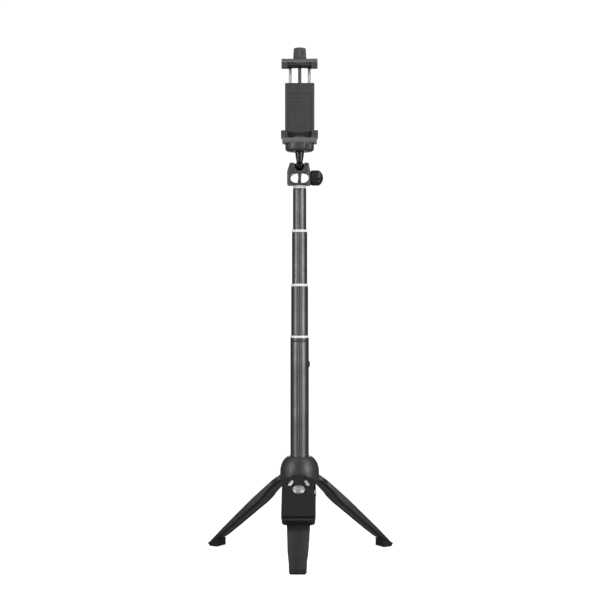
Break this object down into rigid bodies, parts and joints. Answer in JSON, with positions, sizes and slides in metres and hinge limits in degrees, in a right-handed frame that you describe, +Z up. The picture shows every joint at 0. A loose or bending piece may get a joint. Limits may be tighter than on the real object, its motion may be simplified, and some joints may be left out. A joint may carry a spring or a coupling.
{
  "type": "selfie stick",
  "caption": "Telescopic phone stick standing on a folding three-leg base, with a detachable remote, a tilting ball head and a screw-adjusted phone clamp.",
  "frame": {"origin": "on the floor at the bottom centre of the bounding box in the rest pose; the pole axis stands 24.8 mm behind it in y", "axes": "+Z up along the pole, -Y towards the remote and the front leg, +X to the side of the ball-head knob"},
  "size_m": [0.2006, 0.1744, 0.5325],
  "materials": {
    "soft_black": "fine matte moulding",
    "gloss_black": "polished",
    "tube_black": "black anodised, satin",
    "white_plastic": "satin",
    "pale_plastic": "satin",
    "grey_plastic": "fine matte moulding",
    "silver": "bright plated",
    "steel": "turned",
    "brass": "turned",
    "rubber": "matte",
    "board": "solder resist"
  },
  "bodies": {
    "hub": {"hub_shell": "soft_black", "hub_core": "soft_black", "hinge_pin_front": "steel", "hinge_pin_left": "steel", "hinge_pin_right": "steel", "tube_plug": "grey_plastic", "hub_screw": "steel", "tube_4": "tube_black", "tube_4_ring": "white_plastic", "tube_stop_rivet": "soft_black"},
    "front_leg": {"leg_front": "soft_black", "foot_pad_front": "rubber", "remote_cradle": "soft_black"},
    "left_leg": {"leg_left": "soft_black", "foot_pad_left": "rubber"},
    "right_leg": {"leg_right": "soft_black", "foot_pad_right": "rubber"},
    "remote": {"remote_face": "soft_black", "remote_back": "soft_black", "remote_board": "board", "remote_cell": "steel", "shutter_ring": "silver"},
    "shutter": {"shutter_button": "gloss_black"},
    "zoom_in": {"zoom_in_button": "silver"},
    "zoom_out": {"zoom_out_button": "silver"},
    "power": {"power_switch": "pale_plastic"},
    "section_3": {"tube_3": "tube_black", "tube_3_ring": "white_plastic", "tube_3_bush": "grey_plastic"},
    "section_2": {"tube_2": "tube_black", "tube_2_ring": "white_plastic", "tube_2_bush": "grey_plastic"},
    "section_1": {"tube_1": "tube_black", "tube_1_ring": "pale_plastic", "tube_1_bush": "grey_plastic", "head_housing": "soft_black"},
    "lock_screw": {"head_knob": "soft_black", "head_knob_screw": "steel"},
    "ball_roller": {"ball": "gloss_black"},
    "stem": {"ball_stem": "gloss_black", "camera_stud": "steel"},
    "wheel": {"lock_wheel": "soft_black"},
    "clamp": {"lower_jaw": "soft_black", "mount_insert": "brass", "lower_pad": "rubber", "guide_column": "soft_black", "column_nut": "brass", "column_screw_left": "steel", "column_screw_right": "steel"},
    "jaw": {"upper_jaw": "soft_black", "upper_pad": "rubber", "guide_rod_left": "steel", "guide_rod_right": "steel", "knob_washer": "steel"},
    "drive": {"lead_screw": "steel", "clamp_knob": "grey_plastic"}
  },
  "joints": [
    {"name": "front_leg_fold", "type": "hinge", "parent": "hub", "child": "front_leg", "pos_m": [0, 0.01285, 0.083], "axis": [1, 0, 0], "range_deg": [0, 48]},
    {"name": "left_leg_fold", "type": "hinge", "parent": "hub", "child": "left_leg", "pos_m": [-0.01039, 0.03085, 0.083], "axis": [-0.5, -0.866, 0], "range_deg": [0, 48]},
    {"name": "right_leg_fold", "type": "hinge", "parent": "hub", "child": "right_leg", "pos_m": [0.01039, 0.03085, 0.083], "axis": [-0.5, 0.866, 0], "range_deg": [0, 48]},
    {"name": "remote_release", "type": "slide", "parent": "front_leg", "child": "remote", "axis": [0, -0.6691, 0.7431], "range_m": [0, 0.03]},
    {"name": "shutter_press", "type": "slide", "parent": "remote", "child": "shutter", "axis": [0, 0.6691, -0.7431], "range_m": [0, 0.0006], "stiffness_N_per_m": 400, "springref_m": -0.0005},
    {"name": "zoom_in_press", "type": "slide", "parent": "remote", "child": "zoom_in", "axis": [0, 0.6691, -0.7431], "range_m": [0, 0.0006], "stiffness_N_per_m": 400, "springref_m": -0.0005},
    {"name": "zoom_out_press", "type": "slide", "parent": "remote", "child": "zoom_out", "axis": [0, 0.6691, -0.7431], "range_m": [0, 0.0006], "stiffness_N_per_m": 400, "springref_m": -0.0005},
    {"name": "power_slide", "type": "slide", "parent": "remote", "child": "power", "axis": [0, -0.7431, -0.6691], "range_m": [-0.004, 0]},
    {"name": "section_3_slide", "type": "slide", "parent": "hub", "child": "section_3", "axis": [0, 0, 1], "range_m": [-0.0512, 0.058]},
    {"name": "section_2_slide", "type": "slide", "parent": "section_3", "child": "section_2", "axis": [0, 0, 1], "range_m": [-0.0538, 0.05]},
    {"name": "section_1_slide", "type": "slide", "parent": "section_2", "child": "section_1", "axis": [0, 0, 1], "range_m": [-0.0435, 0.056]},
    {"name": "head_knob_turn", "type": "hinge", "parent": "section_1", "child": "lock_screw", "pos_m": [0, 0.02485, 0.3949], "axis": [1, 0, 0], "range_deg": [-360, 45]},
    {"name": "ball_roll", "type": "hinge", "parent": "section_1", "child": "ball_roller", "pos_m": [0, 0.02485, 0.4064], "axis": [0, 1, 0], "range_deg": [-12, 12]},
    {"name": "ball_tilt", "type": "hinge", "parent": "ball_roller", "child": "stem", "pos_m": [0, 0.02485, 0.4064], "axis": [1, 0, 0], "range_deg": [-12, 90]},
    {"name": "lock_wheel_turn", "type": "hinge", "parent": "stem", "child": "wheel", "pos_m": [0, 0.02485, 0.4267], "axis": [0, 0, 1], "continuous": true},
    {"name": "clamp_pan", "type": "hinge", "parent": "stem", "child": "clamp", "pos_m": [0, 0.02485, 0.4335], "axis": [0, 0, 1], "continuous": true},
    {"name": "jaw_slide", "type": "slide", "parent": "clamp", "child": "jaw", "axis": [0, 0, 1], "range_m": [-0.012, 0.018]},
    {"name": "clamp_knob_turn", "type": "hinge", "parent": "jaw", "child": "drive", "pos_m": [0, 0.03235, 0.5265], "axis": [0, 0, 1], "range_deg": [-1730, 2594]}
  ],
  "couplings": [
    {"joint": "clamp_knob_turn", "follows": "jaw_slide", "rad_per_m": 2513.3}
  ]
}
